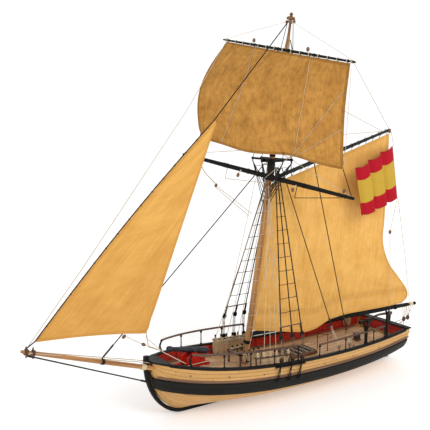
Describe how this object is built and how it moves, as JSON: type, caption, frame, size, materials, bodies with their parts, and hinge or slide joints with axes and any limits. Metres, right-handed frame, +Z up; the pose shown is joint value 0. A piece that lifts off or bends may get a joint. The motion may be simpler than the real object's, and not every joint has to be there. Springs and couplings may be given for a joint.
{
  "type": "model sailing ship",
  "caption": "Wooden display model of a single-masted gun cutter: planked hull, bowsprit, gaff mainsail, square topsail and jib, deck guns, shrouds, rudder and ensign.",
  "frame": {"origin": "middle of the keel's flat underside, half way along the hull's rail length", "axes": "+X aft towards the rudder, +Y to starboard, +Z up; the bowsprit points along -X"},
  "size_m": [0.6052, 0.2452, 0.5061],
  "materials": {
    "black_paint": "black painted wood, low satin sheen, worn a little along edges",
    "plywood": "bare birch plywood, inside the hull",
    "hull_planks": "yellow boxwood-like planks, oiled, fine plank seams and grain",
    "red_paint": "red painted wood, matt",
    "deck_planks": "pale brown deck planks with dark caulking",
    "walnut": "oiled walnut",
    "spar_wood": "oiled natural spar wood with lengthwise grain",
    "brass": "dull old brass",
    "dark_rope": "tarred laid rope, matt",
    "light_rope": "natural laid rope, matt",
    "gun_metal": "blackened cast metal, satin",
    "sailcloth": "golden tan woven sailcloth with sewn panel seams",
    "flag_cloth": "red and yellow woven flag cloth"
  },
  "bodies": {
    "hull": {"keel": "black_paint", "wale_port": "black_paint", "wale_starboard": "black_paint", "cap_rail_port": "black_paint", "cap_rail_starboard": "black_paint", "breast_hook": "black_paint", "taffrail": "black_paint", "crosstrees": "black_paint", "channel_port": "black_paint", "channel_starboard": "black_paint", "boom_crutch": "black_paint", "centre_former": "plywood", "bulkhead_1": "plywood", "bulkhead_2": "plywood", "bulkhead_3": "plywood", "bulkhead_4": "plywood", "bulkhead_5": "plywood", "bulkhead_6": "plywood", "planking_port": "hull_planks", "planking_starboard": "hull_planks", "transom": "hull_planks", "bulwark_lining_port": "red_paint", "bulwark_lining_starboard": "red_paint", "deck": "deck_planks", "hatch_grating": "deck_planks", "hatch_coaming": "walnut", "handrail_fore_port": "walnut", "handrail_fore_starboard": "walnut", "handrail_aft_port": "walnut", "handrail_aft_starboard": "walnut", "pin_rail_port": "walnut", "pin_rail_starboard": "walnut", "fife_rail": "walnut", "swivel_post": "walnut", "binnacle": "walnut", "mast": "spar_wood", "bowsprit": "spar_wood", "mast_truck": "brass", "shrouds_port": "dark_rope", "shrouds_starboard": "dark_rope", "backstays_port": "dark_rope", "backstays_starboard": "dark_rope", "forestay": "dark_rope", "bobstay": "dark_rope", "topmast_stay": "light_rope"},
    "rudder": {"rudder": "black_paint", "tiller": "walnut"},
    "main_rig": {"boom": "black_paint", "gaff": "black_paint", "mainsail": "sailcloth", "flag": "flag_cloth"},
    "course_yard": {"course_yard": "black_paint"},
    "topsail_yard": {"topsail_yard": "black_paint", "topsail": "sailcloth"},
    "jib": {"jib": "sailcloth"},
    "gun_slide": {"gun_slide": "red_paint"},
    "gun_carriage": {"gun_carriage": "red_paint"},
    "gun_barrel": {"gun_barrel": "gun_metal"},
    "swivel_yoke": {"swivel_yoke": "gun_metal"},
    "swivel_barrel": {"swivel_barrel": "gun_metal"}
  },
  "joints": [
    {"name": "rudder_swing", "type": "hinge", "parent": "hull", "child": "rudder", "pos_m": [0.2076, 0, 0], "axis": [0.1289, 0, 0.9917], "range_deg": [-35, 35]},
    {"name": "main_swing", "type": "hinge", "parent": "hull", "child": "main_rig", "pos_m": [-0.05305, 0, 0.082], "axis": [0.1569, 0, 0.9876], "range_deg": [-1.5, 21]},
    {"name": "yard_brace", "type": "hinge", "parent": "hull", "child": "course_yard", "pos_m": [-0.01943, 0, 0.2936], "axis": [0.1569, 0, 0.9876], "range_deg": [-60, 0]},
    {"name": "topsail_brace", "type": "hinge", "parent": "course_yard", "child": "topsail_yard", "pos_m": [0.00653, 0, 0.457], "axis": [0.1569, 0, 0.9876], "range_deg": [0, 36]},
    {"name": "jib_sheet", "type": "hinge", "parent": "hull", "child": "jib", "pos_m": [-0.352, -0.0085, 0.1275], "axis": [0.7121, 0.0168, 0.7018], "range_deg": [-25, 0]},
    {"name": "gun_train", "type": "hinge", "parent": "hull", "child": "gun_slide", "pos_m": [-0.143, 0, 0.055], "axis": [0, 0, 1], "range_deg": [-25, 25]},
    {"name": "gun_recoil", "type": "slide", "parent": "gun_slide", "child": "gun_carriage", "axis": [1, 0, 0], "range_m": [0, 0.005]},
    {"name": "gun_elevation", "type": "hinge", "parent": "gun_carriage", "child": "gun_barrel", "pos_m": [-0.143, 0, 0.0774], "axis": [0, 1, 0], "range_deg": [-14, 3]},
    {"name": "swivel_pan", "type": "hinge", "parent": "hull", "child": "swivel_yoke", "pos_m": [0.113, -0.0541, 0.078], "axis": [0, 0, 1], "range_deg": [-60, 60]},
    {"name": "swivel_tilt", "type": "hinge", "parent": "swivel_yoke", "child": "swivel_barrel", "pos_m": [0.113, -0.0541, 0.086], "axis": [0, 1, 0], "range_deg": [-12, 20]}
  ],
  "couplings": [
    {"joint": "topsail_brace", "follows": "yard_brace", "ratio": -0.6}
  ]
}
